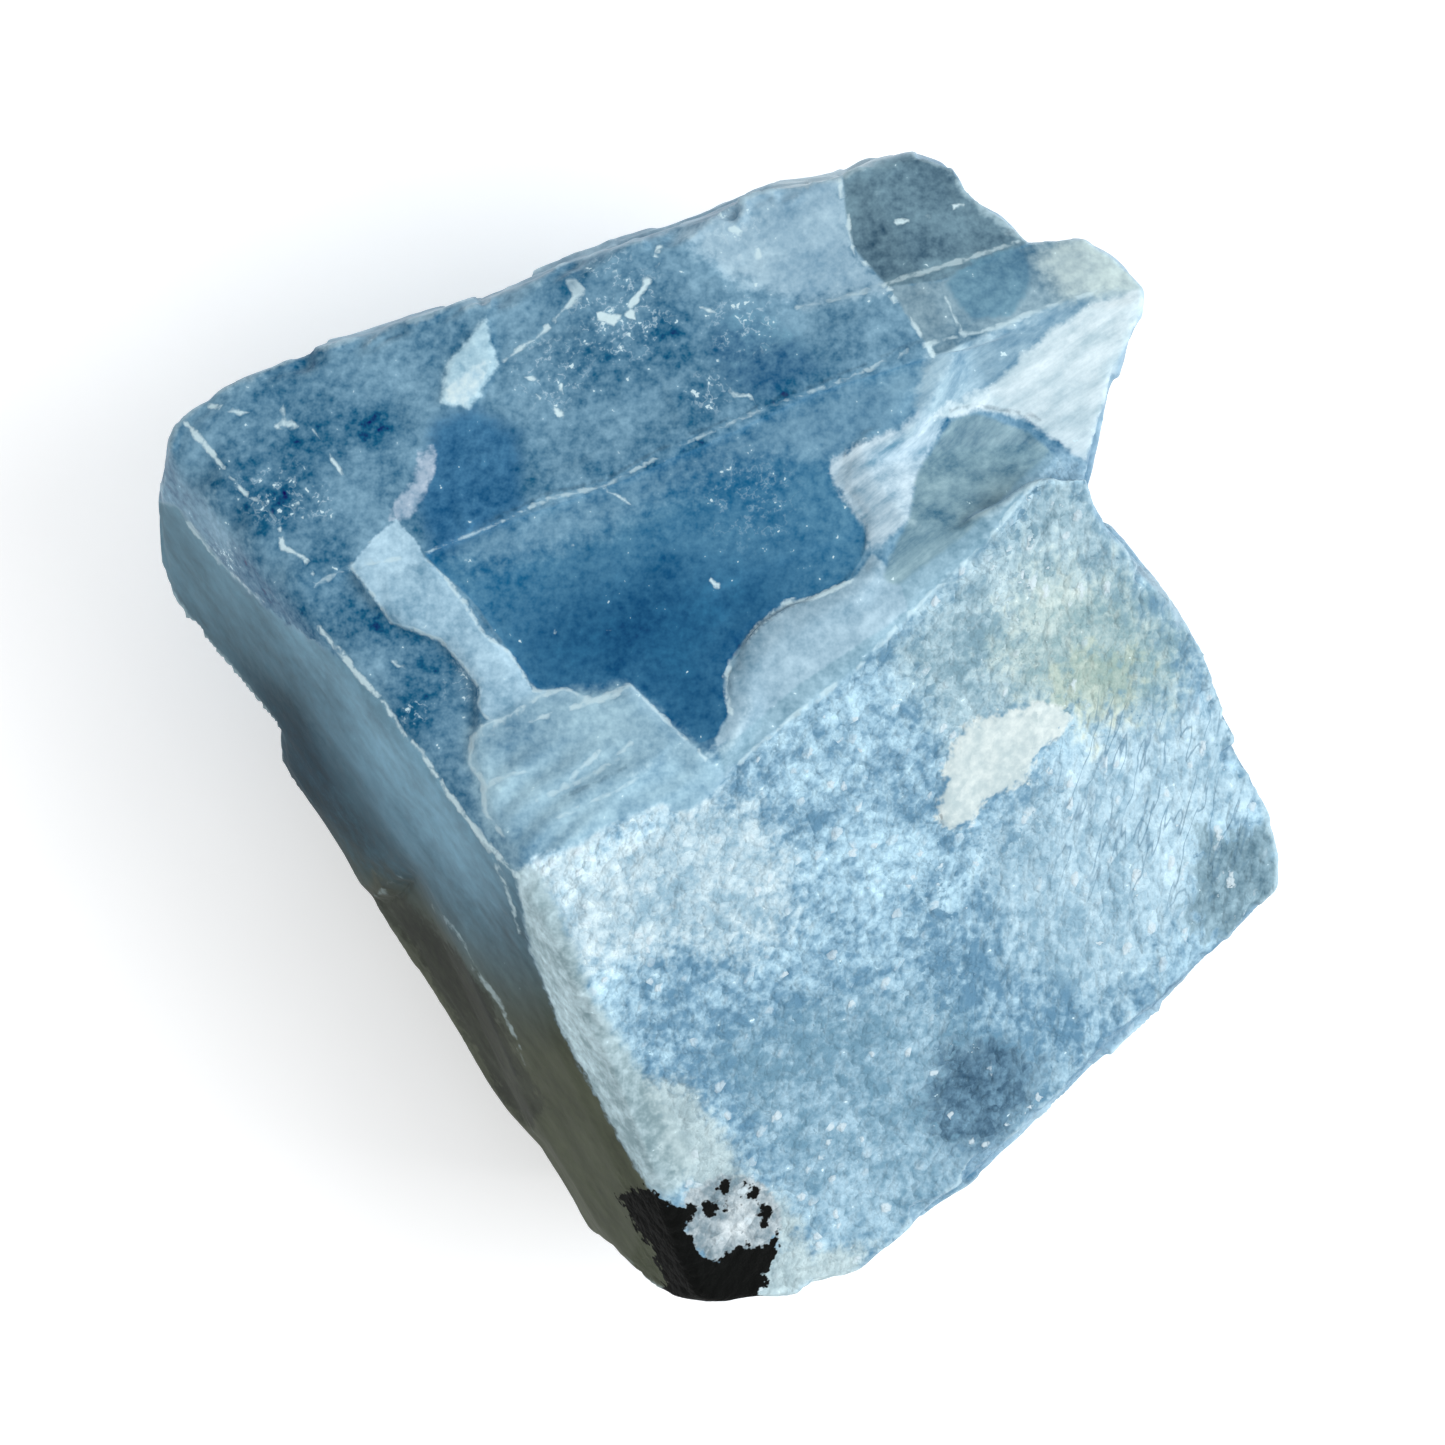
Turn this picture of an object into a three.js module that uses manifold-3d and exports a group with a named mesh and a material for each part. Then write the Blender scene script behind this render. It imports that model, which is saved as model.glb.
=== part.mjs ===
// A rough piece of blue calcite, about 46 mm across and 26 mm high, lying on a flat break.
// Calcite splits along three directions of flat cleavage. The lump is what is left after a blank is
// cleft along those planes: two broad faces that meet in a crest, a steep flank, stepped ledges, a notch
// and chipped edges. Millimetres, +Z up, origin at the middle of the footprint on the resting plane.

import * as THREE from 'three';
import { mergeVertices } from 'three/addons/utils/BufferGeometryUtils.js';
import Module from 'manifold-3d';

const wasm = await Module();
wasm.setup();

// ---- Driving dimensions -------------------------------------------------------------------------

const CREST_HEIGHT = 25.0; // where the strip along the crest meets the broad south face
const BLANK_HEIGHT = 30.0; // the blank before it is cleft
const FAR = 120; // a cutting block is this large, so that it reaches past the whole lump
const STEP_DEPTH = 0.55; // how far one cleavage sheet lies below the next on the north face

// The lump as seen from above, clockwise from its west corner.
const OUTLINE = [
  // north edge, up to the peak
  [-22.2, 12.4], [-20.4, 13.6], [-16.3, 15.2], [-14.6, 15.6], [-11.3, 16.7], [-8.0, 18.1], [-4.7, 19.3],
  [-1.3, 20.5], [2.0, 21.7], [4.7, 22.1], [6.0, 22.8], [7.9, 23.2], [9.2, 22.7],
  // the small step beside the peak, and the north-east corner
  [10.0, 21.2], [11.6, 20.0], [12.3, 19.3], [14.7, 19.6], [15.8, 18.7], [17.0, 17.5],
  // east edge, with its notch
  [16.8, 16.3], [16.1, 14.5], [15.4, 12.2], [15.1, 10.9], [14.8, 9.8], [15.0, 9.0], [15.8, 7.6], [17.1, 6.2],
  [18.3, 4.9], [19.3, 3.5], [20.1, 1.6], [21.1, -1.0], [22.0, -3.2], [22.7, -5.6], [22.8, -7.0],
  // south-east edge
  [22.0, -8.5], [20.2, -9.9], [17.0, -12.2], [13.8, -15.2], [10.7, -18.2], [7.8, -20.4], [5.5, -22.5],
  // south corner
  [3.9, -23.0], [-0.5, -23.3], [-2.5, -23.0], [-3.6, -22.2],
  // south-west edge
  [-4.9, -20.7], [-5.9, -18.9], [-6.9, -17.2], [-8.3, -15.8], [-9.8, -14.0], [-10.8, -12.2], [-13.0, -9.3],
  [-14.5, -7.0], [-15.7, -4.8], [-17.3, -2.5], [-18.4, -0.6], [-20.5, 1.9], [-22.0, 4.3], [-22.8, 6.6],
  [-22.9, 9.2], [-22.6, 11.3],
];

// A cleavage face: a point that it passes through, the compass heading that it faces (degrees from +X
// towards +Y), and how far it leans from level (90 is upright, more than 90 overhangs).
const NORTH_FACE = { at: [-8.3, -6.3, 25.6], heading: 126, lean: 16 };
const SOUTH_FACE = { at: [0.2, -2.2, CREST_HEIGHT], heading: -43, lean: 30 };
const CREST_STRIP = { at: [0.2, -2.2, CREST_HEIGHT], heading: -33, lean: 8 };
const FLANK = { at: [-8.3, -6.3, 25.6], heading: 213, lean: 70 };

function facing({ heading, lean }) {
  const h = THREE.MathUtils.degToRad(heading);
  const t = THREE.MathUtils.degToRad(lean);
  return new THREE.Vector3(Math.cos(h) * Math.sin(t), Math.sin(h) * Math.sin(t), Math.cos(t));
}

// The same face, moved inward.
function deeper(face, depth) {
  const [x, y, z] = face.at;
  const n = facing(face);
  return { ...face, at: [x - n.x * depth, y - n.y * depth, z - n.z * depth] };
}

// The sides below the rim lean in towards the resting face.
const SIDES = [
  { at: [-8.0, 18.2, 17.5], heading: 111, lean: 101 },
  { at: [2.0, 21.9, 14.0], heading: 104, lean: 111 },
  { at: [9.4, 22.6, 19.5], heading: 61, lean: 106 },
  { at: [16.6, 18.2, 19.0], heading: 44, lean: 116 },
  { at: [13.8, -15.4, 13.0], heading: -46, lean: 100 },
  { at: [1.0, -23.3, 14.5], heading: -92, lean: 106 },
  { at: [-10.8, -12.4, 7.5], heading: 211, lean: 112 },
  { at: [-22.9, 7.0, 10.0], heading: 190, lean: 110 },
];

// Blocks that broke out between cleavage planes: what lies outside all the faces of one is gone.
const BREAKS = [
  // the east side, south and north of the notch
  [{ at: [22.6, -5.0, 13.3], heading: 32, lean: 104 }, { at: [15.0, 8.4, 10.0], heading: -80, lean: 90 }],
  [{ at: [15.3, 12.2, 18.5], heading: -10, lean: 105 }, { at: [15.0, 7.8, 10.0], heading: 100, lean: 90 }],
  // under the north side
  [{ at: [-6.0, 15.4, 6.0], heading: 110, lean: 94 }, { at: [-6.0, 14.2, 7.4], heading: 300, lean: 163 }],
  [{ at: [-14.0, 11.0, 10.0], heading: 162, lean: 97 }, { at: [-16.0, 10.0, 9.6], heading: 300, lean: 160 }],
  [{ at: [4.0, 17.6, 9.0], heading: 66, lean: 95 }, { at: [6.0, 18.0, 10.2], heading: 300, lean: 164 }],
  // under the east side
  [{ at: [16.6, -2.0, 6.5], heading: 28, lean: 101 }, { at: [17.6, -2.0, 6.0], heading: 200, lean: 163 }],
  [{ at: [18.6, -6.0, 9.0], heading: 352, lean: 93 }, { at: [17.6, -4.0, 8.8], heading: 200, lean: 163 }],
  // along the south-east side
  [{ at: [14.0, -11.6, 5.0], heading: -50, lean: 96 }, { at: [12.0, -14.0, 5.2], heading: 126, lean: 166 }],
  [
    { at: [7.2, -19.6, 9.0], heading: -40, lean: 92 },
    { at: [9.0, -19.0, 10.2], heading: 126, lean: 160 },
    { at: [10.0, -17.0, 9.0], heading: -140, lean: 92 },
  ],
  // down the flank
  [
    { at: [-10.4, -10.2, 12.0], heading: 205, lean: 88 },
    { at: [-13.6, -6.6, 12.0], heading: -58, lean: 88 },
    deeper(FLANK, 1.0),
  ],
];

// Edges with small chips along them: a run of one face's rim, and the heading of the drop beyond it.
const CHIPPED_EDGES = [
  { face: NORTH_FACE, from: [-21.6, 11.2], to: [-9.0, -5.2], heading: 213, chips: 9, size: 1.1 },
  { face: SOUTH_FACE, from: [-7.4, -8.4], to: [-2.6, -20.0], heading: 205, chips: 5, size: 1.2 },
  { face: NORTH_FACE, from: [-19.5, 14.0], to: [6.5, 22.9], heading: 110, chips: 12, size: 1.2 },
  { face: SOUTH_FACE, from: [8.0, -20.3], to: [21.5, -9.0], heading: -47, chips: 9, size: 1.2 },
  { face: SOUTH_FACE, from: [22.4, -5.0], to: [17.4, 6.0], heading: 24, chips: 6, size: 1.1 },
];

// Sheets missing from the top, each drawn from above, with the faces that are left at its floor.
const SHEETS = [
  { // the clear pane, bounded by the curved rim of the strip
    floor: [deeper(NORTH_FACE, STEP_DEPTH)],
    region: [
      [-12.2, 6.8], [-9.7, 7.8], [-4.7, 9.5], [0.3, 11.7], [3.7, 13.3], [8.7, 14.9], [8.7, 12.6], [5.4, 11.4],
      [4.5, 9.6], [5.8, 8.0], [5.7, 6.8], [5.0, 5.7], [3.7, 5.1], [2.4, 4.7], [1.4, 4.0], [0.6, 3.1],
      [0.1, 1.9], [0.4, 0.6], [-0.2, -0.6], [-1.0, -0.9], [-2.2, -0.2], [-3.8, 1.4], [-4.8, 1.0],
      [-6.3, 1.2], [-7.5, 1.2], [-8.7, 2.9], [-10.2, 4.9],
    ],
  },
  { // beside the flank
    floor: [deeper(NORTH_FACE, STEP_DEPTH * 0.7)],
    region: [
      [-20.0, 5.0], [-15.2, 6.2], [-14.4, 5.0], [-12.9, 3.8], [-11.4, 3.3], [-10.0, 1.4], [-10.0, 0.2],
      [-10.4, -1.6], [-9.8, -2.6], [-9.7, -3.8], [-8.8, -6.0], [-14.0, -4.0],
    ],
  },
  { // the lobe east of the curved step
    floor: [{ at: [5.0, 19.5, 22.3], heading: 84, lean: 19 }],
    region: [
      [4.6, 26.0], [5.0, 20.4], [5.3, 19.0], [6.3, 17.7], [7.2, 16.6], [8.2, 15.6], [8.5, 14.4], [12.3, 15.6],
      [17.4, 17.3], [18.5, 22.0],
    ],
  },
  { // the groove that runs out to the notch: a south-facing wall, a north-east one, and its west end
    floor: [
      { at: [12.3, 16.1, 22.9], heading: -80, lean: 24 },
      { at: [10.0, 8.3, 23.8], heading: 60, lean: 38 },
      { at: [6.2, 11.6, 23.8], heading: -15, lean: 26 },
    ],
    region: [
      [6.2, 14.0], [8.5, 14.8], [12.3, 16.1], [17.4, 17.9], [19.0, 14.0], [17.0, 9.6], [14.4, 9.9],
      [12.6, 9.7], [11.2, 8.7], [9.2, 7.7], [7.2, 7.8], [5.9, 9.3], [5.6, 11.6],
    ],
  },
];

// ---- Solids -------------------------------------------------------------------------------------

function solid(geometry) {
  geometry.deleteAttribute('normal');
  geometry.deleteAttribute('uv');
  const merged = mergeVertices(geometry, 1e-4);
  const vertProperties = new Float32Array(merged.attributes.position.array);
  const triVerts = new Uint32Array(merged.index.array);
  return new wasm.Manifold(new wasm.Mesh({ numProp: 3, vertProperties, triVerts }));
}

// Everything on the outer side of a face.
function outside(face) {
  const block = new THREE.BoxGeometry(FAR, FAR, FAR).translate(0, 0, FAR / 2);
  const turn = new THREE.Quaternion().setFromUnitVectors(new THREE.Vector3(0, 0, 1), facing(face));
  block.applyQuaternion(turn).translate(...face.at);
  return solid(block);
}

function outsideAll(faces) {
  return faces.map(outside).reduce((kept, next) => kept.intersect(next));
}

// A region drawn from above, from one height to another.
function column(points, bottom, top) {
  const shape = new THREE.Shape(points.map(([x, y]) => new THREE.Vector2(x, y)));
  const options = { depth: top - bottom, bevelEnabled: false };
  return solid(new THREE.ExtrudeGeometry(shape, options).translate(0, 0, bottom));
}

let lump = column(OUTLINE, 0, BLANK_HEIGHT);
for (const face of [NORTH_FACE, SOUTH_FACE, CREST_STRIP, FLANK, ...SIDES]) {
  lump = lump.subtract(outside(face));
}
for (const { region, floor } of SHEETS) {
  lump = lump.subtract(column(region, 0, BLANK_HEIGHT).intersect(outsideAll(floor)));
}
for (const faces of BREAKS) {
  lump = lump.subtract(outsideAll(faces));
}

// The height of a face above a point of the plan.
function heightOn({ at, ...slope }, x, y) {
  const n = facing(slope);
  return at[2] - (n.x * (x - at[0]) + n.y * (y - at[1])) / n.z;
}

// A small turned block that bites into an edge.
function chip({ face, from, to, heading, size }, along) {
  const random = THREE.MathUtils.seededRandom;
  const [x, y] = [0, 1].map((axis) => THREE.MathUtils.lerp(from[axis], to[axis], along));
  const length = size * (1 + 1.6 * random());
  const block = new THREE.BoxGeometry(length, size, size);
  const away = facing(face).add(facing({ heading, lean: 90 })).normalize();
  const run = new THREE.Vector3(to[0] - from[0], to[1] - from[1], 0).normalize();
  const across = new THREE.Vector3().crossVectors(away, run);
  block.rotateX(random() * Math.PI).rotateY((random() - 0.5) * 0.9).rotateZ((random() - 0.5) * 0.9);
  block.applyMatrix4(new THREE.Matrix4().makeBasis(run, across, away));
  const lift = away.multiplyScalar(size * (0.2 + 0.25 * random()));
  return solid(block.translate(x + lift.x, y + lift.y, heightOn(face, x, y) + lift.z));
}

THREE.MathUtils.seededRandom(7);
for (const edge of CHIPPED_EDGES) {
  for (let i = 0; i < edge.chips; i++) {
    lump = lump.subtract(chip(edge, (i + THREE.MathUtils.seededRandom()) / edge.chips));
  }
}

// Crumbs that the cuts set free fall away.
const [whole] = lump.decompose().sort((a, b) => b.volume() - a.volume());

function geometryOf(body) {
  const { vertProperties, triVerts } = body.getMesh();
  const geometry = new THREE.BufferGeometry();
  geometry.setAttribute('position', new THREE.BufferAttribute(vertProperties, 3));
  geometry.setIndex(new THREE.BufferAttribute(triVerts, 1));
  geometry.computeVertexNormals();
  return geometry;
}

// The origin goes to the middle of the footprint, on the resting plane.
function settled(geometry) {
  geometry.computeBoundingBox();
  const middle = geometry.boundingBox.getCenter(new THREE.Vector3());
  return geometry.translate(-middle.x, -middle.y, -geometry.boundingBox.min.z);
}

const blueCalcite = new THREE.MeshStandardMaterial({ color: 0x6f97b3, roughness: 0.45, metalness: 0 });
const rawCalcite = new THREE.Mesh(settled(geometryOf(whole)), blueCalcite);
rawCalcite.name = 'raw_calcite';

const group = new THREE.Group();
group.add(rawCalcite);

export default group;
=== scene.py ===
"""A rough lump of blue calcite, dressed for its picture.

The CAD model's one solid becomes a fine mesh with worn and chipped edges, cleavage blocks on its broken
walls and ribs on its south face. One procedural material gives it the clear and the frosted stone, the dark
flank, the white crushed lines, the flecks and the black crust, with painted shade along steps, a painted
highlight along one lit step and painted glow on proud edges. Lengths in the lists are millimetres, in the
plan of the CAD model, and colours are as they look, from 0 to 255."""

import math
from collections import namedtuple

import bpy
import numpy as np
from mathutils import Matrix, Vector


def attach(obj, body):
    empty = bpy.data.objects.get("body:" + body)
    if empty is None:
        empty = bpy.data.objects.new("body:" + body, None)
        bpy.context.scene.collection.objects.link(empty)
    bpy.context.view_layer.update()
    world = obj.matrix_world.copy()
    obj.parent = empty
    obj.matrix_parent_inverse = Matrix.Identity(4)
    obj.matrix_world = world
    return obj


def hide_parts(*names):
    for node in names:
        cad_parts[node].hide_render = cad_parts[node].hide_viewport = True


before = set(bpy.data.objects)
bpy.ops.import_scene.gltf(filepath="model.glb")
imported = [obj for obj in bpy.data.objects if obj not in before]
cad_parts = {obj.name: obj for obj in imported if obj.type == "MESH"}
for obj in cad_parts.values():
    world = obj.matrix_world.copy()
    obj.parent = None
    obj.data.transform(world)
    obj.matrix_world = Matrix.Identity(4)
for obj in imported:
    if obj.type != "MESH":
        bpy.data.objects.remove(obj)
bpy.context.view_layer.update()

MM = 0.001
SHIFT = np.array([0.055, 0.05, 0.0])  # from the plan of the lists to the frame's origin
VOXEL = 0.18  # of the first mesh, before the relief
MOST_TRIANGLES = 192_000
CELLS = 64  # along each side of the lattice that the noise is read from
SEED_STEP = 17.31  # how far apart in that lattice the seeds lie

PANE_FILL = 0.72  # how much of the pane's depth in the CAD model is taken away again
RECESS_FILL = 0.5  # and of the depth of the recess down the flank
RIPPLE_CENTRE = (2.0, -14.0)  # of the shell-like break where the vein meets the crest
RIPPLE_PITCH = 1.3
CRACKS_CENTRE = (17.4, -3.0)
CRUST_FOOT = 11.0  # the height that the black crust stays above

# How strong the light is that falls on each part of the stone, 1 where a colour looks as it is given.
NORTH_LIGHT = 0.95
SOUTH_LIGHT = 1.3
FLANK_LIGHT = 1.0
WALL_LIGHT = 1.05
WORN_LIGHT = 0.9

# The stone's own colours and the painted shade along its steps, the darker and the lighter one where there
# are two.
CLEAR = (62, 112, 143), (122, 163, 187)
FROST = (101, 148, 179), (188, 227, 247)
WALL = (92, 134, 162), (160, 194, 214)
CLOUDY_WALL = (184, 208, 220)
FLANK_WEST = (85, 116, 131)
FLANK_SOUTH = (34, 58, 70)
FLANK_FOOT = (75, 80, 66)
FLANK_CROWN = (109, 146, 165)
SQUIGGLE = (196, 220, 232)
FROST_DOT = (226, 244, 252)
CRACK = (80, 124, 154)
# White of crushed crystal, also used for the painted glow of edges and a painted highlight.
CRUSHED_AND_LIT = (208, 232, 248)
# Painted shade along the steps, on the top and on the flank.
SHADE_COLOUR = (46, 76, 96)
SHADE_COLOUR_ON_FLANK = (34, 40, 40)
CRUST = (8, 10, 9)


def facing(heading, lean):
    """The direction at a heading, from +X towards +Y, that leans this far from upright, both in degrees."""
    h, t = math.radians(heading), math.radians(lean)
    return np.array([math.cos(h) * math.sin(t), math.sin(h) * math.sin(t), math.cos(t)])


LAYERS = facing(126, 10)  # across the cleavage layers that the walls break along
LAYER_RUN = facing(36, 88)  # along them
STEPS = facing(110, 90)  # across the fine steps of the north face
STEP_RUN = facing(20, 90)  # along them
FLANK_AWAY = facing(213, 90)  # level, away from the stone on the flank's side

# ---- The plan of the top ---------------------------------

# A face of the CAD model: a point of it and the way that it faces.
Face = namedtuple("Face", "point normal")
NORTH_FACE = Face((-8.3, -6.3, 25.6), facing(126, 16))
SOUTH_FACE = Face((0.2, -2.2, 25.0), facing(-43, 30))
FLANK_FACE = Face((-8.3, -6.3, 25.6), facing(213, 70))

# A patch of colour: how soft and how ragged its border is, how strong it is, its darker and its lighter
# tone, and its outline from above.
Patch = namedtuple("Patch", "soft ragged strength dark light outline")

# Borders that more than one of the lists follow.
PANE_NORTH = [(-9.7, 7.8), (-4.7, 9.5), (0.3, 11.7), (3.7, 13.3), (8.7, 14.9), (8.7, 12.6)]
VEIN_EAST = [
    (-12.2, 6.7), (-11.3, 5.8), (-10.5, 4.8), (-9.7, 3.5), (-8.7, 2.8), (-7.7, 1.2), (-6.3, 1.3),
    (-5.3, 0.8), (-4.5, 1.0), (-3.8, 1.5), (-3.0, 0.7), (-1.8, -0.5), (-0.5, -1.7),
]
VEIN_WEST = [
    (-8.8, -4.7), (-9.7, -3.7), (-9.7, -2.5), (-10.3, -1.7), (-10.2, -0.7), (-9.5, 0.0), (-10.0, 0.7),
    (-9.8, 1.2), (-10.5, 2.2), (-11.5, 3.3), (-12.5, 3.7), (-13.5, 4.0), (-14.3, 5.2), (-15.2, 6.3),
]
TONGUE_WEST = [(0.0, 1.5), (0.3, 2.5), (0.8, 3.2), (1.5, 4.0), (2.5, 4.8), (3.7, 5.0), (5.2, 5.7)]
FLANK_CREST = [
    (-14.7, 1.7), (-13.8, 0.8), (-13.0, -0.5), (-12.3, -1.2), (-11.3, -2.7), (-10.5, -3.8), (-9.7, -4.8),
]

# The patches on the north side of the crest, each painted over the ones before it.
NORTH_PATCHES = {
    "pane": Patch(
        0.05, 0.25, 1.0, (34, 102, 142), (86, 139, 170),
        [(-12.2, 6.8), *PANE_NORTH, (5.4, 11.4), (4.5, 9.6), (5.8, 8.0), (5.7, 6.8), (5.0, 5.7), (3.7, 5.1),
         (2.4, 4.7), (1.4, 4.0), (0.6, 3.1), (0.1, 1.9), (0.4, 0.6), (-0.2, -0.6), (-1.0, -0.9),
         (-2.2, -0.2), (-3.8, 1.4), (-4.8, 1.0), (-6.3, 1.2), (-7.5, 1.2), (-8.7, 2.9), (-10.2, 4.9)],
    ),
    "depth": Patch(
        2.4, 2.0, 0.85, (0, 70, 114), (20, 98, 140),
        [(-7.4, 1.0), (-8.6, 3.4), (-5.4, 5.6), (-1.0, 6.6), (2.6, 6.4), (2.4, 4.6), (0.4, 2.4),
         (0.0, -0.6), (-1.2, -0.9), (-4.2, 1.2)],
    ),
    "haze": Patch(
        0.7, 2.0, 0.85, (84, 130, 160), (126, 168, 192),
        [(-11.2, 7.1), *PANE_NORTH, (6.8, 11.4), (4.8, 10.6), (2.2, 10.7), (0.2, 10.1), (-2.8, 8.9),
         (-5.6, 7.5), (-9.6, 6.3)],
    ),
    "pool": Patch(
        0.5, 1.0, 0.9, (20, 86, 130), (60, 122, 162),
        [(-11.8, 12.2), (-10.2, 12.8), (-8.3, 11.7), (-8.2, 8.8), (-9.7, 7.8), (-11.7, 6.8), (-12.5, 8.8)],
    ),
    "pool_east": Patch(
        0.5, 1.4, 0.8, (44, 96, 134), (92, 140, 168),
        [(-0.3, 16.5), (1.3, 16.8), (3.2, 15.5), (3.7, 14.2), (1.7, 13.2), (0.3, 13.5), (-0.5, 14.8)],
    ),
    "milky": Patch(
        0.45, 1.6, 0.9, (126, 164, 188), (164, 196, 214),
        [(-2.0, 20.0), (1.3, 22.5), (4.7, 23.0), (5.0, 20.5), (5.3, 19.2), (6.0, 18.3), (6.7, 17.5),
         (5.3, 17.3), (3.3, 17.0), (0.3, 18.0)],
    ),
    "patch": Patch(
        0.12, 0.5, 0.9, (160, 198, 216), (200, 232, 248),
        [(-11.3, 14.5), (-9.7, 16.5), (-9.2, 14.5), (-10.3, 12.7), (-11.5, 13.0)],
    ),
    "patch_core": Patch(
        0.12, 0.5, 0.8, (186, 218, 234), (220, 240, 248),
        [(-11.2, 13.7), (-9.8, 14.7), (-9.7, 14.0), (-10.5, 12.8), (-11.3, 13.2)],
    ),
    "link": Patch(
        0.12, 0.6, 0.85, (140, 170, 194), (196, 212, 228),
        [(-12.3, 11.0), (-11.7, 11.3), (-11.8, 10.2), (-12.2, 9.2), (-12.8, 8.2), (-13.6, 8.2),
         (-13.3, 9.0), (-12.7, 9.7)],
    ),
    "vein": Patch(
        0.06, 0.3, 1.0, (142, 180, 202), (186, 220, 238),
        [(-14.0, 7.7), (-13.3, 8.2), (-12.5, 7.3), *VEIN_EAST, (0.2, -2.2), (-4.0, -6.8), (-8.6, -9.4),
         (-8.5, -6.4), *VEIN_WEST],
    ),
    "fan": Patch(
        0.4, 0.8, 0.9, (120, 158, 180), (160, 196, 212),
        [(-10.3, -0.4), (-7.5, 1.0), (-4.0, 1.4), (0.2, -2.2), (-1.6, -4.2), (-8.6, -7.0), (-9.8, -3.7),
         (-10.4, -1.6)],
    ),
    "strip": Patch(
        0.15, 0.4, 1.0, (107, 144, 163), (146, 180, 197),
        [(0.2, -2.4), (1.5, -1.4), (2.8, -0.3), (5.0, 1.2), (6.7, 3.0), (7.8, 4.0), (9.0, 5.2), (10.3, 6.3),
         (11.7, 8.0), (12.8, 9.3), (13.9, 10.4), (13.3, 11.0), (11.7, 10.0), (10.0, 8.3), (7.8, 7.2),
         (6.0, 5.8), (5.3, 4.2), (2.8, 2.2), (0.7, 0.0), (-0.3, -1.2)],
    ),
    "tongue": Patch(
        0.08, 0.2, 1.0, (126, 159, 178), (163, 192, 208),
        [(-0.6, -1.2), (0.3, 0.5), *TONGUE_WEST, (6.0, 6.8), (7.0, 5.8), (7.5, 4.5), (5.0, 2.8), (2.8, 1.3),
         (0.7, -0.5)],
    ),
    "streaks": Patch(
        0.15, 0.9, 1.0, (130, 164, 184), (196, 218, 230),
        [(4.2, 10.3), (5.3, 11.2), (7.0, 11.7), (8.0, 12.8), (9.3, 13.5), (10.7, 13.8), (9.0, 12.2),
         (8.0, 10.2), (7.5, 8.2), (6.7, 7.3), (5.8, 6.8), (5.7, 7.8), (4.7, 9.2)],
    ),
    "ramp": Patch(
        0.3, 1.2, 0.95, (116, 152, 174), (166, 196, 210),
        [(8.3, 15.2), (11.2, 16.0), (13.7, 17.0), (16.2, 17.8), (18.2, 18.1), (16.4, 16.6), (13.2, 14.8),
         (10.7, 13.2), (8.7, 12.0), (7.7, 12.8)],
    ),
    "lobe": Patch(
        0.08, 0.3, 1.0, (60, 92, 112), (106, 138, 154),
        [(4.7, 24.0), (9.0, 24.0), (13.0, 20.5), (12.2, 19.3), (9.0, 17.9), (6.7, 17.6), (5.3, 19.2),
         (5.0, 20.5)],
    ),
    "saddle": Patch(
        0.08, 0.3, 1.0, (84, 121, 143), (135, 165, 180),
        [(6.7, 17.6), (9.0, 17.9), (12.2, 19.3), (14.5, 19.9), (17.8, 18.0), (16.8, 17.7), (13.7, 17.0),
         (8.5, 14.8)],
    ),
    "saddle_dark": Patch(
        0.15, 0.6, 0.8, (56, 104, 134), (90, 136, 160),
        [(9.0, 17.8), (10.3, 18.8), (12.2, 19.3), (12.5, 17.8), (11.7, 16.5), (10.0, 16.2)],
    ),
    "tip": Patch(
        0.5, 0.8, 0.9, (162, 184, 190), (194, 214, 214),
        [(12.7, 18.8), (14.5, 20.0), (15.9, 19.2), (18.0, 17.5), (15.3, 17.3), (13.7, 17.2)],
    ),
    # Painted light, in part: the facet that faces the lamp, painted pale as well.
    "lit": Patch(
        0.15, 0.7, 1.0, (172, 196, 206), (214, 230, 236),
        [(10.7, 13.5), (12.3, 15.0), (13.2, 15.8), (14.7, 16.8), (18.0, 17.9), (18.2, 16.5), (17.5, 14.8),
         (16.8, 12.8), (15.5, 9.9), (13.7, 11.3), (12.2, 12.3), (10.3, 12.7), (9.2, 12.3), (8.2, 12.3),
         (9.3, 13.0)],
    ),
    # Painted shade, in part: the wall that faces away from the lamp, painted darker.
    "shaded_shoulder": Patch(
        0.12, 0.3, 1.0, (84, 121, 140), (135, 166, 177),
        [(7.5, 8.2), (7.8, 10.0), (9.2, 12.2), (10.3, 12.5), (12.3, 11.8), (13.3, 11.0), (11.7, 9.5),
         (9.7, 7.5), (8.0, 6.2), (6.9, 5.4), (6.4, 5.9), (7.0, 7.3)],
    ),
}

FIBROUS = ("streaks", "ramp", "lit", "shaded_shoulder")  # the patches that are streaked along the cleavage
CALM = ("pane", "depth", "pool")  # the clearest ones

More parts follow.
